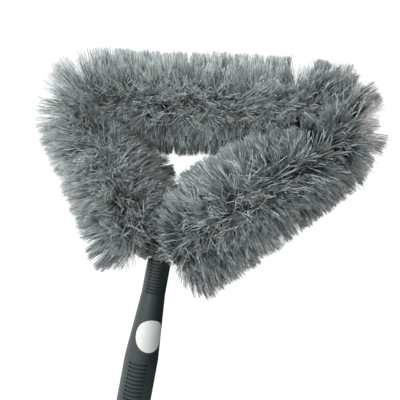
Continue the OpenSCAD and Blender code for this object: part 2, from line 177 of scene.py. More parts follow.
def reground_plastic(name):
    """Matt plastic of mixed scrap: a dull ground with paler specks."""
    material, tree = start_material(name)
    place = add(tree, "ShaderNodeTexCoord").outputs["Object"]
    speck = add(tree, "ShaderNodeTexVoronoi", {"Vector": place, "Scale": 1 / (SPECK_MM * MM)})
    pale = add(tree, "ShaderNodeMapRange", {"Value": speck.outputs["Distance"], "From Min": 0.1,
                                            "From Max": 0.45, "To Min": 1.0, "To Max": 0.0})
    grain = add(tree, "ShaderNodeTexNoise", {"Vector": place, "Scale": 1 / (GRAIN_MM * MM), "Detail": 3.0})
    skin = add(tree, "ShaderNodeMix", {"Factor": pale.outputs["Result"], "A": colour(PLUG_BROWN),
                                       "B": colour(PLUG_SPECK)}, data_type="RGBA")
    dull = add(tree, "ShaderNodeMapRange", {"Value": grain.outputs["Fac"], "To Min": 0.5, "To Max": 0.7})
    bump = add(tree, "ShaderNodeBump", {"Height": grain.outputs["Fac"], "Strength": 0.4,
                                        "Distance": 0.1 * MM})
    shader = add(tree, "ShaderNodeBsdfPrincipled", {
        "Base Color": skin.outputs["Result"], "Roughness": dull.outputs["Result"],
        "Normal": bump.outputs["Normal"], "IOR": POLYPROPYLENE_IOR})
    add(tree, "ShaderNodeOutputMaterial", {"Surface": shader.outputs["BSDF"]})
    return material


dress("neck_plug", reground_plastic("reground_plastic_moulded"))

# The core: two galvanised steel wires, twisted together along the whole loop so that they nip the filling. It
# is bent by hand: out of the plug with a knee, up the left leg, round the short corner, along the top, round
# the long corner, down the right leg and back into the plug.
CORNERS_MM = [
    [-4.2, 0, 156.8], [-4.2, 0, 199.5], [-20, 0, 204], [-99, 6, 326.8], [175, -6, 365.8], [89.6, -30, 282.65],
    [15, -5, 202], [4.2, 0, 199.5], [4.2, 0, 156.8]]
CORNER_R_MM = [0, 6, 10, 10, 19, 200, 10, 6, 0]
ROUTE_STEP_MM = 0.5
TWIST_PITCH_MM = 18.0
WIRE_R_MM = 1.2
WIRE_OFF_MM = 1.45
WIRE_SIDES = 12
RINGS_PER_TURN = 18
ZINC = "#a9adaf"
ZINC_PALE = "#c9cccd"
SPANGLE_MM = 2.5
FRONT = np.array([0.0, -1.0, 0.0])


def unit(v):
    return v / np.linalg.norm(v, axis=-1, keepdims=True)


def rounded_route():
    """Close samples of the core's middle line: distance along it, place and heading. Also where each bend
    begins and ends."""
    corners = np.array(CORNERS_MM, float)
    runs = unit(np.diff(corners, axis=0))
    count = len(corners)
    inner_turns = [math.acos(np.clip(runs[i - 1] @ runs[i], -1, 1)) for i in range(1, count - 1)]
    turn = [0.0] + inner_turns + [0.0]
    trim = [r * math.tan(a / 2) for r, a in zip(CORNER_R_MM, turn)]
    places, headings, lengths, bends = [], [], [], [(0.0, 0.0)]
    s = 0.0
    for i in range(count - 1):
        start = corners[i] + runs[i] * trim[i]
        length = np.linalg.norm(corners[i + 1] - corners[i]) - trim[i] - trim[i + 1]
        t = np.linspace(0, length, max(2, int(length / ROUTE_STEP_MM)), endpoint=False)
        places.append(start + t[:, None] * runs[i])
        headings.append(np.repeat(runs[i][None], len(t), 0))
        lengths.append(s + t)
        s += length
        if i + 1 < count - 1:
            inward = unit(runs[i + 1] - runs[i] * (runs[i] @ runs[i + 1]))
            r, arc = CORNER_R_MM[i + 1], CORNER_R_MM[i + 1] * turn[i + 1]
            a = np.linspace(0, turn[i + 1], max(2, int(arc / ROUTE_STEP_MM)), endpoint=False)[:, None]
            begin = corners[i + 1] - runs[i] * trim[i + 1]
            places.append(begin + r * (runs[i] * np.sin(a) + inward * (1 - np.cos(a))))
            headings.append(runs[i] * np.cos(a) + inward * np.sin(a))
            lengths.append(s + a[:, 0] * r)
            bends.append((s, s + arc))
            s += arc
    bends.append((s, s))
    places.append(corners[-1:])
    headings.append(runs[-1:])
    lengths.append(np.array([s]))
    return np.concatenate(lengths), np.concatenate(places), np.concatenate(headings), bends


ROUTE_S, ROUTE_PLACE, ROUTE_HEADING, BENDS = rounded_route()


def core_at(s):
    """Place and heading of the core at distances s, with the two directions square to it: outward and to the
    front."""
    place = np.stack([np.interp(s, ROUTE_S, ROUTE_PLACE[:, k]) for k in range(3)], -1)
    heading = unit(np.stack([np.interp(s, ROUTE_S, ROUTE_HEADING[:, k]) for k in range(3)], -1))
    out = unit(np.cross(heading, -FRONT))
    return place, heading, out, np.cross(heading, out)


def galvanised_steel(name):
    """Dull zinc-coated wire: a soft metal gloss, broken up by pale crystals."""
    material, tree = start_material(name)
    place = add(tree, "ShaderNodeTexCoord").outputs["Object"]
    spangle = add(tree, "ShaderNodeTexVoronoi", {"Vector": place, "Scale": 1 / (SPANGLE_MM * MM)})
    skin = add(tree, "ShaderNodeMix", {"Factor": spangle.outputs["Color"], "A": colour(ZINC),
                                       "B": colour(ZINC_PALE)}, data_type="RGBA")
    gloss = add(tree, "ShaderNodeMapRange", {"Value": spangle.outputs["Distance"], "To Min": 0.28,
                                             "To Max": 0.45})
    shader = add(tree, "ShaderNodeBsdfPrincipled", {
        "Base Color": skin.outputs["Result"], "Roughness": gloss.outputs["Result"], "Metallic": 1.0})
    add(tree, "ShaderNodeOutputMaterial", {"Surface": shader.outputs["BSDF"]})
    return material


def twisted_wire(name, side, node):
    rings = int(ROUTE_S[-1] / TWIST_PITCH_MM * RINGS_PER_TURN) + 1
    s = np.linspace(0, ROUTE_S[-1], rings)
    place, heading, out, front = core_at(s)
    a = 2 * np.pi * s / TWIST_PITCH_MM + np.pi * side
    off = out * np.cos(a)[:, None] + front * np.sin(a)[:, None]
    line = place + WIRE_OFF_MM * off
    along = unit(np.gradient(line, axis=0))
    u = unit(off - along * np.sum(off * along, -1, keepdims=True))
    v = np.cross(along, u)
    k = np.arange(WIRE_SIDES) * 2 * np.pi / WIRE_SIDES
    ring = u[:, None] * np.cos(k)[None, :, None] + v[:, None] * np.sin(k)[None, :, None]
    points = line[:, None] + WIRE_R_MM * ring
    faces = tube_faces(rings, WIRE_SIDES)
    piece = mesh_piece(name, points.reshape(-1, 3), faces, zinc_wire)
    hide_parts(node)


zinc_wire = galvanised_steel("steel_wire_galvanised")
twisted_wire("twisted_wire_a", 0, "core_wire_a")
twisted_wire("twisted_wire_b", 1, "core_wire_b")

# The filling: thousands of grey plastic filaments, caught across the wires as these were twisted. They stand
# out in a double screw of flat fans, trimmed to one length, and cling together in tufts and finer wisps. Real
# ones are about 0.3 mm thick: these are a little thicker at the root, and fewer.
FILAMENT_ROOT_MM = 0.38
FILAMENT_TIP_MM = 0.30
FILAMENT_RINGS = 4
FILAMENT_CORNERS = 3
FILAMENT_IOR = 1.54
FILAMENT_STREAKS = 90.0
TONES = 64
COLUMN_EDGE = 0.1
RISE_EDGE = 0.02
BROWN_TONE = 0.01
BLEACHED_TONE = 0.035
DARKEST_TONE = 0.13
LIGHTEST_TONE = 0.999
HAIR_GLINT_TONE = 0.98
FILAMENT_BROWN = "#7d776c"
FILAMENT_BLEACHED = "#f0e9e5"
FILAMENT_DARK = "#475355"
FILAMENT_LIGHT = "#d6dede"
FILAMENT_ROOT_SHADE = "#606b6d"
FILAMENT_SPLIT = "#939b9b"


def filament_plastic(name):
    """Fine extruded filament: painted shade darkens it towards its root; it is paler at its split tip, and
    each has a tone of its own. The UV map holds that tone across, the lowest ones for soiled and bleached
    brown, and the rise upward."""
    material, tree = start_material(name)
    tone_and_rise = add(tree, "ShaderNodeUVMap", uv_map="OFBake").outputs["UV"]
    split = add(tree, "ShaderNodeSeparateXYZ", {"Vector": tone_and_rise})
    tone, rise = split.outputs["X"], split.outputs["Y"]
    lightness = add(tree, "ShaderNodeMapRange", {"Value": tone, "From Min": DARKEST_TONE, "From Max": 1.0})
    grey = add(tree, "ShaderNodeMix", {"Factor": lightness.outputs["Result"], "A": colour(FILAMENT_DARK),
                                       "B": colour(FILAMENT_LIGHT)}, data_type="RGBA")
    is_grey = add(tree, "ShaderNodeMapRange", {"Value": tone, "From Min": 0.05, "From Max": 0.12})
    is_pale = add(tree, "ShaderNodeMapRange", {"Value": tone, "From Min": 0.018, "From Max": 0.03})
    brown = add(tree, "ShaderNodeMix", {"Factor": is_pale.outputs["Result"], "A": colour(FILAMENT_BROWN),
                                        "B": colour(FILAMENT_BLEACHED)}, data_type="RGBA")
    own = add(tree, "ShaderNodeMix", {"Factor": is_grey.outputs["Result"], "A": brown.outputs["Result"],
                                      "B": grey.outputs["Result"]}, data_type="RGBA")
    # Painted shade: the colour darkens from the middle of each filament down to its root, deep in the
    # filling.
    low = add(tree, "ShaderNodeMapRange", {"Value": rise, "From Min": 0.05, "From Max": 0.6},
              interpolation_type="SMOOTHSTEP")
    root_shaded = add(tree, "ShaderNodeMix", {"Factor": low.outputs["Result"], "A": colour(FILAMENT_ROOT_SHADE),
                                        "B": own.outputs["Result"]}, data_type="RGBA")
    high = add(tree, "ShaderNodeMapRange", {"Value": rise, "From Min": 0.78, "From Max": 1.0, "To Max": 0.5})
    tip = add(tree, "ShaderNodeMix", {"Factor": high.outputs["Result"], "A": root_shaded.outputs["Result"],
                                      "B": colour(FILAMENT_SPLIT)}, data_type="RGBA")
    streak = add(tree, "ShaderNodeTexNoise", {"Vector": tone_and_rise, "Scale": FILAMENT_STREAKS,
                                              "Detail": 1.0})
    gloss = add(tree, "ShaderNodeMapRange", {"Value": streak.outputs["Fac"], "To Min": 0.25, "To Max": 0.45})
    shader = add(tree, "ShaderNodeBsdfPrincipled", {
        "Base Color": tip.outputs["Result"], "Roughness": gloss.outputs["Result"], "IOR": FILAMENT_IOR})
    add(tree, "ShaderNodeOutputMaterial", {"Surface": shader.outputs["BSDF"]})
    return material


def filament_uv(mesh, tone, corner_across, corner_ring):
    """Lays each filament on the column of its own tone, with its rise from root to tip upward."""
    column = np.minimum((tone * TONES).astype(int), TONES - 1)
    across = (column[:, None] + COLUMN_EDGE + (1 - 2 * COLUMN_EDGE) * corner_across[None]) / TONES
    rise = np.linspace(0, 1, FILAMENT_RINGS)[corner_ring]
    upward = np.repeat(rise[None], len(tone), 0) * (1 - 2 * RISE_EDGE) + RISE_EDGE
    uv = mesh.uv_layers.new(name="OFBake")
    uv.data.foreach_set("uv", np.stack([across, upward], -1).ravel())


def filament_mesh(name, paths, thickness, tone):
    """One mesh of many thin filaments. paths is (filament, ring, xyz), thickness (filament, ring). Their
    corners are counted from a direction askew to each filament."""
    count, rings = paths.shape[:2]
    sides = FILAMENT_CORNERS
    along = unit(np.gradient(paths, axis=1))
    askew = np.roll(along[:, :1], 1, -1) + np.array([0.31, 0.17, 0.05])
    u = unit(np.cross(along, askew))
    v = np.cross(along, u)
    k = np.arange(sides) * 2 * np.pi / sides
    ring = u[:, :, None] * np.cos(k)[:, None] + v[:, :, None] * np.sin(k)[:, None]
    points = (paths[:, :, None] + ring * thickness[:, :, None, None] / 2).reshape(-1, 3) * MM

    r, c = np.meshgrid(np.arange(rings - 1), np.arange(sides), indexing="ij")
    n = (c + 1) % sides
    quads = np.stack([r * sides + c, r * sides + n, (r + 1) * sides + n, (r + 1) * sides + c], -1)
    quad_across = np.stack([c, c + 1, c + 1, c], -1) / sides
    quad_ring = np.stack([r, r, r + 1, r + 1], -1)
    caps = np.array([np.arange(sides)[::-1], (rings - 1) * sides + np.arange(sides)])
    cap_across = np.tile(np.arange(sides) / sides, (2, 1))
    cap_ring = np.array([[0] * sides, [rings - 1] * sides])
    corners = np.concatenate([quads.ravel(), caps.ravel()])
    sizes = np.array([4] * r.size + [sides] * 2)

    first = (np.arange(count) * rings * sides)[:, None]
    all_corners = (first + corners).ravel()
    all_sizes = np.tile(sizes, count)
    mesh = bpy.data.meshes.new(name)
    mesh.vertices.add(len(points))
    mesh.vertices.foreach_set("co", points.ravel())
    mesh.loops.add(len(all_corners))
    mesh.loops.foreach_set("vertex_index", all_corners)
    mesh.polygons.add(len(all_sizes))
    mesh.polygons.foreach_set("loop_start", np.concatenate([[0], np.cumsum(all_sizes)[:-1]]))
    mesh.polygons.foreach_set("use_smooth", np.ones(len(all_sizes), bool))
    filament_uv(mesh, tone, np.concatenate([quad_across.ravel(), cap_across.ravel()]),
                np.concatenate([quad_ring.ravel(), cap_ring.ravel()]))
    mesh.update(calc_edges=True)
    mesh.validate()
    return mesh


# Where the filling begins and ends along the core, and where its tufts stand. Short soiled filaments stand
# round the stems, next to the plug.
LEFT_BEND_START, LEFT_BEND_END = BENDS[3]
RIGHT_BEND_START, RIGHT_BEND_END = BENDS[4]
BARE_MM = 1.0
FILL_START = BENDS[2][1] + BARE_MM
FILL_END = BENDS[6][0] - BARE_MM
STUB_START = BENDS[1][0] + BARE_MM
STUB_END = BENDS[7][1] - BARE_MM
TUFTS_ROUND = 26
FAN_PITCH_MM = TWIST_PITCH_MM / 2
FAN_BLUR_MM = 1.2
SECTOR_SHARE = 0.45
PATCHES_ROUND = 9
LEAN, SWERVE, LENGTH, SHADE, BLEACH = range(5)


def near(s, middle, half):
    """One at the middle of a stretch of the core, falling to nothing at half its width to each side."""
    return np.clip(1 - np.abs(s - middle) / half, 0, 1)


def fan_start(angle):
    """How far along the core a fan has come at an angle round it."""
    return angle / (2 * np.pi) * TWIST_PITCH_MM % FAN_PITCH_MM


def patch_noise(s, angle, channel):
    """A number from -1 to 1 that the neighbouring tufts of one fan share, the same in every stretch of the
    core. Its factors are any that scatter it."""
    i = np.round((s - fan_start(angle)) / FAN_PITCH_MM)
    j = np.floor(angle / (2 * np.pi) * PATCHES_ROUND)
    return (np.sin(i * 12.9898 + j * 78.233 + channel * 37.719) * 43758.5453) % 2 - 1


def tuft_feet(rng, low, high):
    """Where the tufts stand: distances along the core and angles round it, one fan after another."""
    fans = np.arange(math.floor(low / FAN_PITCH_MM) - 1, math.ceil(high / FAN_PITCH_MM) + 1)
    fan, sector = [g.ravel() for g in np.meshgrid(fans, np.arange(TUFTS_ROUND), indexing="ij")]
    angle = (sector + rng.uniform(-SECTOR_SHARE, SECTOR_SHARE, len(sector))) / TUFTS_ROUND * 2 * np.pi
    s = fan * FAN_PITCH_MM + fan_start(angle) + rng.normal(0, FAN_BLUR_MM, len(fan))
    kept = (s > low) & (s < high)
    return s[kept], angle[kept]


def each_child(parents, count):
    """The values of each parent, once for every one of its children."""
    return SimpleNamespace(**{name: np.repeat(values, count, 0) for name, values in vars(parents).items()})


# The tufts: those that face a point in front of the loop are ruffled. Round the long corner they are matted,
# each fan for itself, and some are bleached. The right leg is the most worn. Painted shade darkens the start
# of the filling, the long corner and the right leg most; the outer tips there are made paler again. A notch
# parts the top edge.
FACED_POINT_MM = np.array([27.0, -410.0, 254.0])
FACING_POWER = 6
REACH_MM = 51.5
PLAIN_RUFFLE = 0.03
FACING_RUFFLE = 0.2
MATTED_RUFFLE = 0.05
MATTED_S = RIGHT_BEND_END - 12
MATTED_HALF_MM = 58
MATTED_LEAN = 0.16
MATTED_GATHER = 0.7
MATTED_SHORTER = 0.2
MATTED_PALER = 0.45
PATCHY = {LEAN: (0.05, 0.38), SWERVE: (0.04, 0.32), LENGTH: (0.012, 0.1), SHADE: (0.07, 0.1)}
NOTCH_S = RIGHT_BEND_START - 20
NOTCH_HALF_MM = 7
NOTCH_LEAN = 0.42
NOTCH_BREADTH = 1.6
SPLAY = 0.38
SPLAY_RANGE = (0.6, 1.1)
SPLAY_LEN_MM = 8
END_SPLAY_SHARE = 0.3
LOOSEST_GATHER = 0.35
SPIKY_GATHER = 0.35
SPIKY_HALF_MM = 30
TRIM_SPREAD = 0.01
STUB_SHARE = 0.27
CUT_S = [
    FILL_START, FILL_START + 30, LEFT_BEND_START - 25, LEFT_BEND_START, LEFT_BEND_END, LEFT_BEND_END + 40,
    RIGHT_BEND_START, RIGHT_BEND_END - 12, RIGHT_BEND_END, RIGHT_BEND_END + 15, RIGHT_BEND_END + 50, FILL_END]
CUT_SHARE = [1.06, 1.03, 1.04, 1.07, 1.03, 0.99, 0.962, 1.0, 1.2, 1.08, 1.0, 1.09]
HOLLOW_S = RIGHT_BEND_END + 33
HOLLOW_HALF_MM = 40
HOLLOW_TURN = 0.3
HOLLOW_SHORTER = 0.35
HOLLOW_PAINTED_SHADE = 0.4
WORN_S = [RIGHT_BEND_START, RIGHT_BEND_END + 40]
SHADE_SPREAD = 0.08
PAINTED_SHADE_S = [FILL_START, FILL_START + 70, LEFT_BEND_END, RIGHT_BEND_START - 40, RIGHT_BEND_START,
           RIGHT_BEND_END + 20, RIGHT_BEND_END + 90]
PAINTED_SHADE_SHIFT = [-0.38, -0.03, 0.0, -0.03, -0.36, -0.8, -0.38]
PALE_S = [FILL_START + 60, FILL_START + 110, RIGHT_BEND_START, RIGHT_BEND_END]
PALE_SHIFT = [0.16, 0.02, 0.04, 0.22]
BLEACHED_S = RIGHT_BEND_START + 37
BLEACHED_HALF_MM = 22
BLEACHED_FROM = 0.4
BLEACHED_PATCHES_FROM = -0.6


def comb_tufts(rng, low, high):
    """How each tuft stands: its lean along the core, its swerve round it, its length and its shade."""
    s, angle = tuft_feet(rng, low, high)
    count = len(s)
    place, heading, out, front = core_at(s)
    way = out * np.cos(angle)[:, None] + front * np.sin(angle)[:, None]
    facing = np.maximum(0, np.sum(way * unit(FACED_POINT_MM - place), -1)) ** FACING_POWER
    outer = np.maximum(0, np.cos(angle))
    matted = near(s, MATTED_S, MATTED_HALF_MM)
    worn = np.interp(s, WORN_S, [0, 1])
    stub = (s < FILL_START) | (s > FILL_END)

    def patchy(channel):
        plain, added = PATCHY[channel]
        return patch_noise(s, angle, channel) * (plain + added * matted)

    turning = np.linalg.norm(core_at(s + 1)[1] - core_at(s - 1)[1], axis=-1) / 2
    spread = 1 / REACH_MM + turning * outer
    ruffle = PLAIN_RUFFLE + FACING_RUFFLE * facing + MATTED_RUFFLE * matted * (1 - outer)
    notch = np.exp(-((s - NOTCH_S) / NOTCH_HALF_MM) ** 2) * np.minimum(1, NOTCH_BREADTH * outer)
    lean = rng.normal(0, 1, count) * ruffle + np.sign(s - NOTCH_S) * NOTCH_LEAN * notch
    lean += MATTED_LEAN * matted * outer
    lean += patchy(LEAN)
    splay = np.where(stub, 0, SPLAY * rng.uniform(*SPLAY_RANGE, count))
    lean -= splay * np.exp(-np.maximum(0, s - FILL_START) / SPLAY_LEN_MM)
    lean += END_SPLAY_SHARE * splay * np.exp(-np.maximum(0, FILL_END - s) / SPLAY_LEN_MM)
    swerve = rng.normal(0, 1, count) * ruffle + patchy(SWERVE)

    spiky = near(s, LEFT_BEND_START, SPIKY_HALF_MM) * outer
    gather = rng.uniform(0.0, LOOSEST_GATHER, count) + SPIKY_GATHER * spiky + MATTED_GATHER * matted
    long = 1 - TRIM_SPREAD * np.abs(rng.normal(0, 1, count)) - MATTED_SHORTER * matted * outer
    long += patchy(LENGTH)
    long *= np.interp(s, CUT_S, CUT_SHARE)
    long = np.where(stub, STUB_SHARE, long)
    # The hollow by the long corner: shorter tufts, painted darker as the shade in the gap between the top and
    # right legs.
    hollow = near(s, HOLLOW_S, HOLLOW_HALF_MM) * np.clip(HOLLOW_TURN - np.cos(angle), 0, 1)
    long *= 1 - HOLLOW_SHORTER * hollow

    # Tone: random, shifted darker by painted shade along the stretches listed above and in the hollow, and
    # paler on the outer tips.
    shade = rng.normal(0, SHADE_SPREAD, count) + np.interp(s, PAINTED_SHADE_S, PAINTED_SHADE_SHIFT)
    shade += MATTED_PALER * matted * outer ** 3
    shade += patchy(SHADE)
    shade -= HOLLOW_PAINTED_SHADE * hollow
    shade += np.interp(s, PALE_S, PALE_SHIFT) * outer ** 2
    bleached = np.exp(-((s - BLEACHED_S) / BLEACHED_HALF_MM) ** 2) * outer > BLEACHED_FROM
    bleached &= patch_noise(s, angle, BLEACH) > BLEACHED_PATCHES_FROM
    return SimpleNamespace(
        s=s, angle=angle, facing=facing, outer=outer, matted=matted, worn=worn, stub=stub, spread=spread,
        ruffle=ruffle, lean=lean, swerve=swerve, gather=gather, long=long, shade=shade, bleached=bleached)


# The wisps that a tuft parts into. Some of the ruffled ones are bent right over and are painted paler, a
# painted highlight, and a few loose ones poke through whatever is in their way.
WISPS_PER_TUFT = 13
WISP_SPREAD_MM = 2.2
WISP_TURN_SHARE = 0.6
WISP_TURN_BLUR = 0.04
BENT_SHARE, BENT_FACING, BENT_WORN = 0.01, 0.14, 0.1
BENT_RUFFLE = 0.4
BENT_GATHER = 0.9
BENT_HIGHLIGHT = 0.4
LOOSE_SHARE, LOOSE_INNER = 0.01, 0.04
INNERMOST = -0.6
WISP_GATHER_RANGE = (0.5, 0.98)
FACING_OPENS = 0.6
WISP_SHORTER, FEW_SHORTER = 0.05, 0.2
FACING_SHORTER, WORN_SHORTER = 0.4, 0.2
WISP_SHADE_SPREAD, WORN_SHADE_SPREAD = 0.26, 0.24
SOILED_SHARE, SOILED_MATTED, SOILED_STUBS = 0.03, 0.15, 0.8
BLEACHED_SHARE = 0.85
PLAIN_STRAY, FACING_STRAY = 0.018, 0.08


def part_wisps(rng, tufts):
    """How each wisp stands, much as its tuft does."""
    tuft = each_child(tufts, WISPS_PER_TUFT)
    count = len(tuft.s)
    off_s = rng.normal(0, WISP_SPREAD_MM, count)
    off_angle = rng.uniform(-WISP_TURN_SHARE, WISP_TURN_SHARE, count) * 2 * np.pi / TUFTS_ROUND
    off_angle += rng.normal(0, WISP_TURN_BLUR, count)
    bent_over = rng.random(count) < (BENT_FACING + BENT_WORN * tuft.worn) * tuft.facing + BENT_SHARE
    loose = rng.random(count) < LOOSE_SHARE + LOOSE_INNER * (np.cos(tuft.angle) < INNERMOST)
    ruffle = PLAIN_RUFFLE + FACING_RUFFLE * tuft.facing + np.where(bent_over, BENT_RUFFLE, 0)
    lean = tuft.lean + rng.normal(0, 1, count) * ruffle - tuft.gather * off_s * tuft.spread
    swerve = tuft.swerve + rng.normal(0, 1, count) * ruffle - tuft.gather * off_angle
    opened = rng.uniform(*WISP_GATHER_RANGE, count) * (1 - FACING_OPENS * tuft.facing)
    gather = np.where(bent_over, BENT_GATHER, opened)
    long = tuft.long * (1 - WISP_SHORTER * rng.random(count) - FEW_SHORTER * rng.random(count) ** 5)
    long *= 1 - (FACING_SHORTER + WORN_SHORTER * tuft.worn) * tuft.facing * rng.random(count) ** 1.5
    curl = rng.normal(0, 1, (count, 3)) * (ruffle + tuft.ruffle)[:, None]
    shade = tuft.shade + rng.normal(0, 1, count) * (WISP_SHADE_SPREAD + WORN_SHADE_SPREAD * tuft.worn)
    # Bent-over wisps are painted paler: a painted highlight.
    shade += np.where(bent_over, BENT_HIGHLIGHT, 0)
    soiling = SOILED_SHARE + SOILED_MATTED * tuft.matted * tuft.outer + SOILED_STUBS * tuft.stub
    soiled = rng.random(count) < soiling
    bleached = tuft.bleached & (rng.random(count) < BLEACHED_SHARE)
    return SimpleNamespace(
        s=off_s + tuft.s, angle=off_angle + tuft.angle, lean=lean, swerve=swerve, gather=gather, long=long,
        curl=curl, shade=shade, soiled=soiled, bleached=bleached, loose=loose, spread=tuft.spread,
        stray=PLAIN_STRAY + FACING_STRAY * tuft.facing)


# The single filaments of a wisp, with a stray hair here and there, thicker and given the lightest tone as a
# painted glint. Where another leg of the loop is in the way they turn aside, to the front or behind it, and
# beside the handle's neck they are trimmed clear of it.
FILAMENTS_PER_WISP = 5
FILAMENT_OFF_MM = 0.6
FILAMENT_TURN = 0.02
FILAMENT_ROOT_R_MM = 2.2
FILAMENT_CURL = 0.22
FILAMENT_WOBBLE_MM = 0.3
MIDDLE_STRAIGHT, MIDDLE_LEANING = 0.35, 0.2
FILAMENT_SHORTER, FEWEST_SHORTER = 0.03, 0.2
FILAMENT_SHADE_SPREAD = 0.14
MIDDLE_TONE = 0.5
INNER_REACH_MM = 52.5
INNER_S = [LEFT_BEND_START, LEFT_BEND_END + 10, RIGHT_BEND_START - 10, RIGHT_BEND_END + 10]
INNER_SHARE = [0.06, -0.025, -0.025, 0.06]
HAIR_SHARE, HAIR_IN_FRONT = 0.012, 0.06
HAIR_STRAY = 0.4
HAIR_GIRTH = 1.5
LOOK_STEP_MM = 4.0
LOOK_S = np.arange(BENDS[1][1], BENDS[7][0], LOOK_STEP_MM)
LOOK_PLACE = core_at(LOOK_S)[0]
OWN_STRETCH_MM = 40
ROOM_RANGE = (0.9, 1.1)
LEAST_FREE = 0.15
SIDEWAYS = 0.8
SIDE_BLUR = 0.12
TUCK_S = RIGHT_BEND_END + 28
TUCK_HALF_MM = 45
TUCK_BEHIND = 1.2
TUCK_CORNER_HALF_MM = 26
TUCK_CORNER = 0.8
NECK_CLEAR_MM = 13.0
NECK_TOP_MM = 195.0
TRIM_X_MM = [-90, -62, -34, -23, 0, 12, 34, 60]
TRIM_Z_MM = [172, 174, 178, 181, 197, 194, 174, 130]
SHORTEST_TRIM = 0.12


def room(s, place, flat, way):
    """How far a filament may go before another part of the core is nearer than its own root. Its lean towards
    its own stretch doesn't count."""
    gap = LOOK_PLACE[None] - place[:, None]
    own = np.abs(LOOK_S[None] - s[:, None]) < OWN_STRETCH_MM
    ahead = np.where(own, np.sum(gap * flat[:, None], -1), np.sum(gap * way[:, None], -1))
    far = np.sum(gap * gap, -1) / np.maximum(2 * ahead, 1e-6)
    return np.where(ahead > 1e-3, far, 1e9).min(1)


def turn_aside(rng, s, place, flat, way, reach, loose):
    """The way from the core to the tip, in shares of the reach, and how much of it is straight ahead."""
    count = len(s)
    free = np.clip(room(s, place, flat, way) * rng.uniform(*ROOM_RANGE, count) / reach, LEAST_FREE, 1)
    free = np.where(loose, 1, free)
    behind = TUCK_BEHIND * near(s, TUCK_S, TUCK_HALF_MM)
    behind += TUCK_CORNER * (np.abs(s - RIGHT_BEND_START) < TUCK_CORNER_HALF_MM)
    to_front = np.sum(way * FRONT, -1) - behind + rng.normal(0, SIDE_BLUR, count) > 0
    side = np.where(to_front, 1.0, -1.0)[:, None] * FRONT
    turned = way * free[:, None] + side * (np.sqrt(1 - free ** 2) * SIDEWAYS)[:, None]
    turned /= np.maximum(1, np.linalg.norm(turned, axis=-1, keepdims=True))
    return turned, free


def trim_at_neck(paths):
    """Shortens what hangs below a line across the handle's neck, and pushes the rest to the neck's side."""
    lowest = np.interp(paths[:, -1, 0], TRIM_X_MM, TRIM_Z_MM)
    drop = paths[:, 0, 2] - paths[:, -1, 2]
    trimmed = np.clip((paths[:, 0, 2] - lowest) / np.maximum(drop, 1e-3), SHORTEST_TRIM, 1)
    trimmed = np.where(paths[:, -1, 2] < lowest, trimmed, 1)[:, None, None]
    paths = paths[:, :1] + (paths - paths[:, :1]) * trimmed
    from_axis = np.hypot(paths[..., 0], paths[..., 1])
    push = np.maximum(1, NECK_CLEAR_MM / np.maximum(from_axis, 1e-3))
    push = np.where(paths[..., 2] < NECK_TOP_MM, push, 1)
    paths[..., :2] *= push[..., None]
    return paths


def lay_filaments(rng, wisps):
    """The path of each filament, bent once between root and tip, with its tone and how thick it is."""
    wisp = each_child(wisps, FILAMENTS_PER_WISP)
    count = len(wisp.s)
    off_s = rng.normal(0, FILAMENT_OFF_MM, count)
    off_angle = rng.normal(0, FILAMENT_TURN, count)
    s = np.clip(wisp.s + off_s, STUB_START, STUB_END)
    angle = wisp.angle + off_angle
    place, heading, out, front = core_at(s)
    flat = out * np.cos(angle)[:, None] + front * np.sin(angle)[:, None]
    around = np.cross(heading, flat)
    inner = np.maximum(0, -np.cos(angle))
    reach = REACH_MM - (REACH_MM - INNER_REACH_MM) * inner
    reach = reach * (1 + np.interp(s, INNER_S, INNER_SHARE) * inner)
    cut = 1 - FILAMENT_SHORTER * rng.random(count) - FEWEST_SHORTER * rng.random(count) ** 6
    reach = reach * wisp.long * cut

    along = wisp.lean + rng.normal(0, 1, count) * wisp.stray - wisp.gather * off_s * wisp.spread
    across = wisp.swerve + rng.normal(0, 1, count) * wisp.stray - wisp.gather * off_angle
    hair = rng.random(count) < HAIR_SHARE + HAIR_IN_FRONT * np.maximum(0, np.sum(flat * FRONT, -1)) ** 4
    along += np.where(hair, rng.normal(0, HAIR_STRAY, count), 0)
    across += np.where(hair, rng.normal(0, HAIR_STRAY, count), 0)
    way = unit(flat + heading * along[:, None] + around * across[:, None])
    turned, free = turn_aside(rng, s, place, flat, way, reach, wisp.loose)

    root = place + flat * FILAMENT_ROOT_R_MM
    tip = place + turned * reach[:, None]
    bend = wisp.curl * (reach * FILAMENT_CURL)[:, None] + rng.normal(0, FILAMENT_WOBBLE_MM, (count, 3))
    middle = place + (flat * MIDDLE_STRAIGHT + way * MIDDLE_LEANING) * (reach * free)[:, None] + bend
    t = np.linspace(0, 1, FILAMENT_RINGS)[None, :, None]
    paths = (1 - t) ** 2 * root[:, None] + 2 * t * (1 - t) * middle[:, None] + t ** 2 * tip[:, None]

    tone = MIDDLE_TONE + wisp.shade + rng.normal(0, FILAMENT_SHADE_SPREAD, count)
    tone = np.where(wisp.soiled, BROWN_TONE, np.clip(tone, DARKEST_TONE, LIGHTEST_TONE))
    # Stray hairs take the lightest tone: a painted glint.
    tone = np.where(hair, HAIR_GLINT_TONE, np.where(wisp.bleached, BLEACHED_TONE, tone))
    return trim_at_neck(paths), tone, np.where(hair, HAIR_GIRTH, 1.0)


# The imported roots: where the wires nip them, the filaments lie side by side in a fluted tube that has the
# wires' own twist. The tube is painted nearly black as the shade in there, and only their fine grain shows.
ROOTS_R_MM = 4.6
FLUTE_MM = 0.7
ROOTS_END_SHARE = 0.8
ROOTS_STEP_MM = 1.5
ROOTS_SIDES = 16
ROOT_GRAIN_MM = 0.6
ROOTS_PAINTED_SHADE = "#101518"
ROOTS_GREY = "#3a454a"


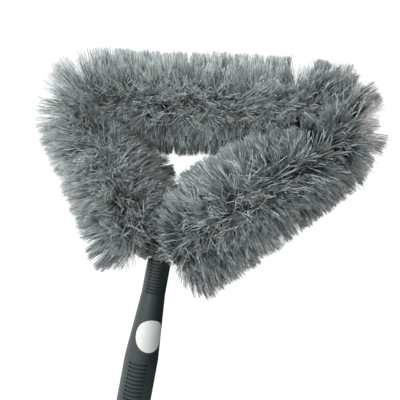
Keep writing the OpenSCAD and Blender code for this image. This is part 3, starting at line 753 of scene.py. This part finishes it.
def packed_filament(name):
    """Filament roots pressed side by side: painted nearly black as shade, with a fine broken grain of grey.
    """
    material, tree = start_material(name)
    place = add(tree, "ShaderNodeTexCoord").outputs["Object"]
    grain = add(tree, "ShaderNodeTexNoise", {"Vector": place, "Scale": 1 / (ROOT_GRAIN_MM * MM),
                                             "Detail": 2.0})
    skin = add(tree, "ShaderNodeMix", {"Factor": grain.outputs["Fac"], "A": colour(ROOTS_PAINTED_SHADE),
                                       "B": colour(ROOTS_GREY)}, data_type="RGBA")
    bump = add(tree, "ShaderNodeBump", {"Height": grain.outputs["Fac"], "Strength": 0.8,
                                        "Distance": 0.5 * MM})
    shader = add(tree, "ShaderNodeBsdfPrincipled", {
        "Base Color": skin.outputs["Result"], "Roughness": 0.6, "Normal": bump.outputs["Normal"],
        "IOR": FILAMENT_IOR})
    add(tree, "ShaderNodeOutputMaterial", {"Surface": shader.outputs["BSDF"]})
    return material


def packed_roots(name, low, high):
    rings = max(4, int((high - low) / ROOTS_STEP_MM)) + 1
    s = np.linspace(low, high, rings)
    place, heading, out, front = core_at(s)
    k = np.arange(ROOTS_SIDES) * 2 * np.pi / ROOTS_SIDES
    swell = ROOTS_R_MM + FLUTE_MM * np.cos(2 * (k[None] - 2 * np.pi * s[:, None] / TWIST_PITCH_MM))
    swell[[0, -1]] *= ROOTS_END_SHARE
    points = place[:, None] + swell[..., None] * (
        out[:, None] * np.cos(k)[None, :, None] + front[:, None] * np.sin(k)[None, :, None])
    faces = tube_faces(rings, ROOTS_SIDES)
    return mesh_piece(name, points.reshape(-1, 3), faces, root_filament)


def filling(name, node, low, high, seed):
    """The filaments and roots of one stretch of the core."""
    rng = np.random.default_rng(seed)
    paths, tone, girth = lay_filaments(rng, part_wisps(rng, comb_tufts(rng, low, high)))
    taper = FILAMENT_ROOT_MM + (FILAMENT_TIP_MM - FILAMENT_ROOT_MM) * np.linspace(0, 1, FILAMENT_RINGS)
    mesh = filament_mesh(name, paths, girth[:, None] * taper[None], tone)
    mesh.materials.append(grey_filament)
    piece = bpy.data.objects.new(name, mesh)
    bpy.context.scene.collection.objects.link(piece)
    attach(piece, "root")
    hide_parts(node)
    roots = packed_roots(name + "_roots", low, high)
    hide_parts(node)


grey_filament = filament_plastic("filament_extruded_grey")
root_filament = packed_filament("filament_roots_packed")
for leg, low, high, parts, seed in [
    ("left_leg", STUB_START, LEFT_BEND_START, 4, 11),
    ("left_corner", LEFT_BEND_START, LEFT_BEND_END, 1, 21),
    ("top_leg", LEFT_BEND_END, RIGHT_BEND_START, 6, 31),
    ("right_corner", RIGHT_BEND_START, RIGHT_BEND_END, 1, 41),
    ("right_leg", RIGHT_BEND_END, STUB_END, 5, 51),
]:
    cuts = np.linspace(low, high, parts + 1)
    for i in range(parts):
        filling(f"filling_{leg}_{i + 1}", f"bristles_{leg}", cuts[i], cuts[i + 1], seed + i)

# The round sticker: white vinyl film on the flare, with its printing left off. A die cut its edge, and it
# has a weak sheen of its own beside the handle's satin.
VINYL_WHITE = "#c0c3c0"
VINYL_SHADE = "#b4b8b4"
MOTTLE_MM = 4
VINYL_IOR = 1.53


def white_vinyl(name):
    """Smooth coated film: nearly white, faintly mottled, with a soft clear gloss."""
    material, tree = start_material(name)
    place = add(tree, "ShaderNodeTexCoord").outputs["Object"]
    mottle = add(tree, "ShaderNodeTexNoise", {"Vector": place, "Scale": 1 / (MOTTLE_MM * MM), "Detail": 4.0})
    skin = add(tree, "ShaderNodeMix", {"Factor": mottle.outputs["Fac"], "A": colour(VINYL_WHITE),
                                       "B": colour(VINYL_SHADE)}, data_type="RGBA")
    gloss = add(tree, "ShaderNodeMapRange", {"Value": mottle.outputs["Fac"], "To Min": 0.28, "To Max": 0.4})
    shader = add(tree, "ShaderNodeBsdfPrincipled", {
        "Base Color": skin.outputs["Result"], "Roughness": gloss.outputs["Result"], "IOR": VINYL_IOR})
    add(tree, "ShaderNodeOutputMaterial", {"Surface": shader.outputs["BSDF"]})
    return material


dress("round_label", white_vinyl("vinyl_film_white"))

# The studio: a pale paper floor well below the brush, which stands on nothing of its own, and a white
# surround that is brightest at the upper left. The camera sees an even backdrop in its place. Two soft lamps
# help it.
LOOP_MIDDLE_M = (0.03, 0.0, 0.27)
FLOOR_Z_M = -0.5
FLOOR_R_M = 0.9
PAPER = "#f4f4f3"
PAPER_PALE = "#f8f8f7"
PAPER_CLOUD_MM = 25
WHITE = "#ffffff"
BRIGHT_SIDE = (-0.85, -0.3, 0.42)
BACKDROP_STRENGTH = 1.05
bpy.ops.mesh.primitive_circle_add(
    vertices=96, radius=FLOOR_R_M, fill_type="NGON", location=(LOOP_MIDDLE_M[0], LOOP_MIDDLE_M[1], FLOOR_Z_M))
floor = bpy.context.object
floor.name = "studio_floor"


def matt_paper(name):
    """Uncoated white paper: no gloss, hardly clouded, and lit up a little by itself."""
    material, tree = start_material(name)
    place = add(tree, "ShaderNodeTexCoord").outputs["Object"]
    clouds = add(tree, "ShaderNodeTexNoise", {"Vector": place, "Scale": 1 / (PAPER_CLOUD_MM * MM)})
    white = add(tree, "ShaderNodeMix", {"Factor": clouds.outputs["Fac"], "A": colour(PAPER),
                                        "B": colour(PAPER_PALE)}, data_type="RGBA")
    shader = add(tree, "ShaderNodeBsdfPrincipled", {
        "Base Color": white.outputs["Result"], "Roughness": 0.9, "Emission Color": colour(WHITE),
        "Emission Strength": 0.3})
    add(tree, "ShaderNodeOutputMaterial", {"Surface": shader.outputs["BSDF"]})
    return material


floor.data.materials.append(matt_paper("paper_matt_white"))

world = bpy.data.worlds.new("studio_surround")
bpy.context.scene.world = world
world.use_nodes = True
tree = world.node_tree
tree.nodes.clear()
seen = add(tree, "ShaderNodeLightPath").outputs["Is Camera Ray"]
way = add(tree, "ShaderNodeTexCoord").outputs["Generated"]
side = add(tree, "ShaderNodeVectorMath", {0: way, 1: BRIGHT_SIDE}, operation="DOT_PRODUCT")
bright = add(tree, "ShaderNodeMapRange", {"Value": side.outputs["Value"], "From Min": -0.6, "From Max": 0.9,
                                          "To Min": 0.06, "To Max": 1.75})
glow = add(tree, "ShaderNodeBackground", {"Color": colour(WHITE), "Strength": bright.outputs["Result"]})
backdrop = add(tree, "ShaderNodeBackground", {"Color": colour(WHITE), "Strength": BACKDROP_STRENGTH})
either = add(tree, "ShaderNodeMixShader", {
    0: seen, 1: glow.outputs["Background"], 2: backdrop.outputs["Background"]})
add(tree, "ShaderNodeOutputWorld", {"Surface": either.outputs["Shader"]})


def soft_light(name, place, aim, size, watts):
    data = bpy.data.lights.new(name, "AREA")
    data.shape = "SQUARE"
    data.size = size
    data.energy = watts
    lamp = bpy.data.objects.new(name, data)
    lamp.location = place
    lamp.rotation_euler = (Vector(aim) - Vector(place)).to_track_quat("-Z", "Y").to_euler()
    bpy.context.scene.collection.objects.link(lamp)


soft_light("key_left", place=(-0.85, -0.5, 0.8), aim=LOOP_MIDDLE_M, size=0.8, watts=6.5)
soft_light("fill_front", place=(-0.6, -1.1, 0.6), aim=LOOP_MIDDLE_M, size=1.0, watts=7)

# The camera: straight at the loop, near the brush, and rolled so that the handle leans to the left.
CAMERA_AWAY_M = 0.41
VIEW_WIDTH_M = 0.381
VIEW_CENTRE_M = (0.02745, 0.2539)
ROLL_X = 0.18206
ROLL_Z = 0.98329
SENSOR_MM = 36.0
camera = bpy.data.objects.new("camera", bpy.data.cameras.new("camera"))
camera.data.sensor_width = SENSOR_MM
camera.data.lens = SENSOR_MM * CAMERA_AWAY_M / VIEW_WIDTH_M
right = Vector((ROLL_Z, 0, ROLL_X))
up = Vector((-ROLL_X, 0, ROLL_Z))
towards_camera = right.cross(up)
turned = Matrix((right, up, towards_camera)).transposed().to_4x4()
camera.matrix_world = Matrix.Translation((VIEW_CENTRE_M[0], -CAMERA_AWAY_M, VIEW_CENTRE_M[1])) @ turned
bpy.context.scene.collection.objects.link(camera)
bpy.context.scene.camera = camera
bpy.context.scene.view_settings.view_transform = "Standard"

bpy.context.view_layer.update()
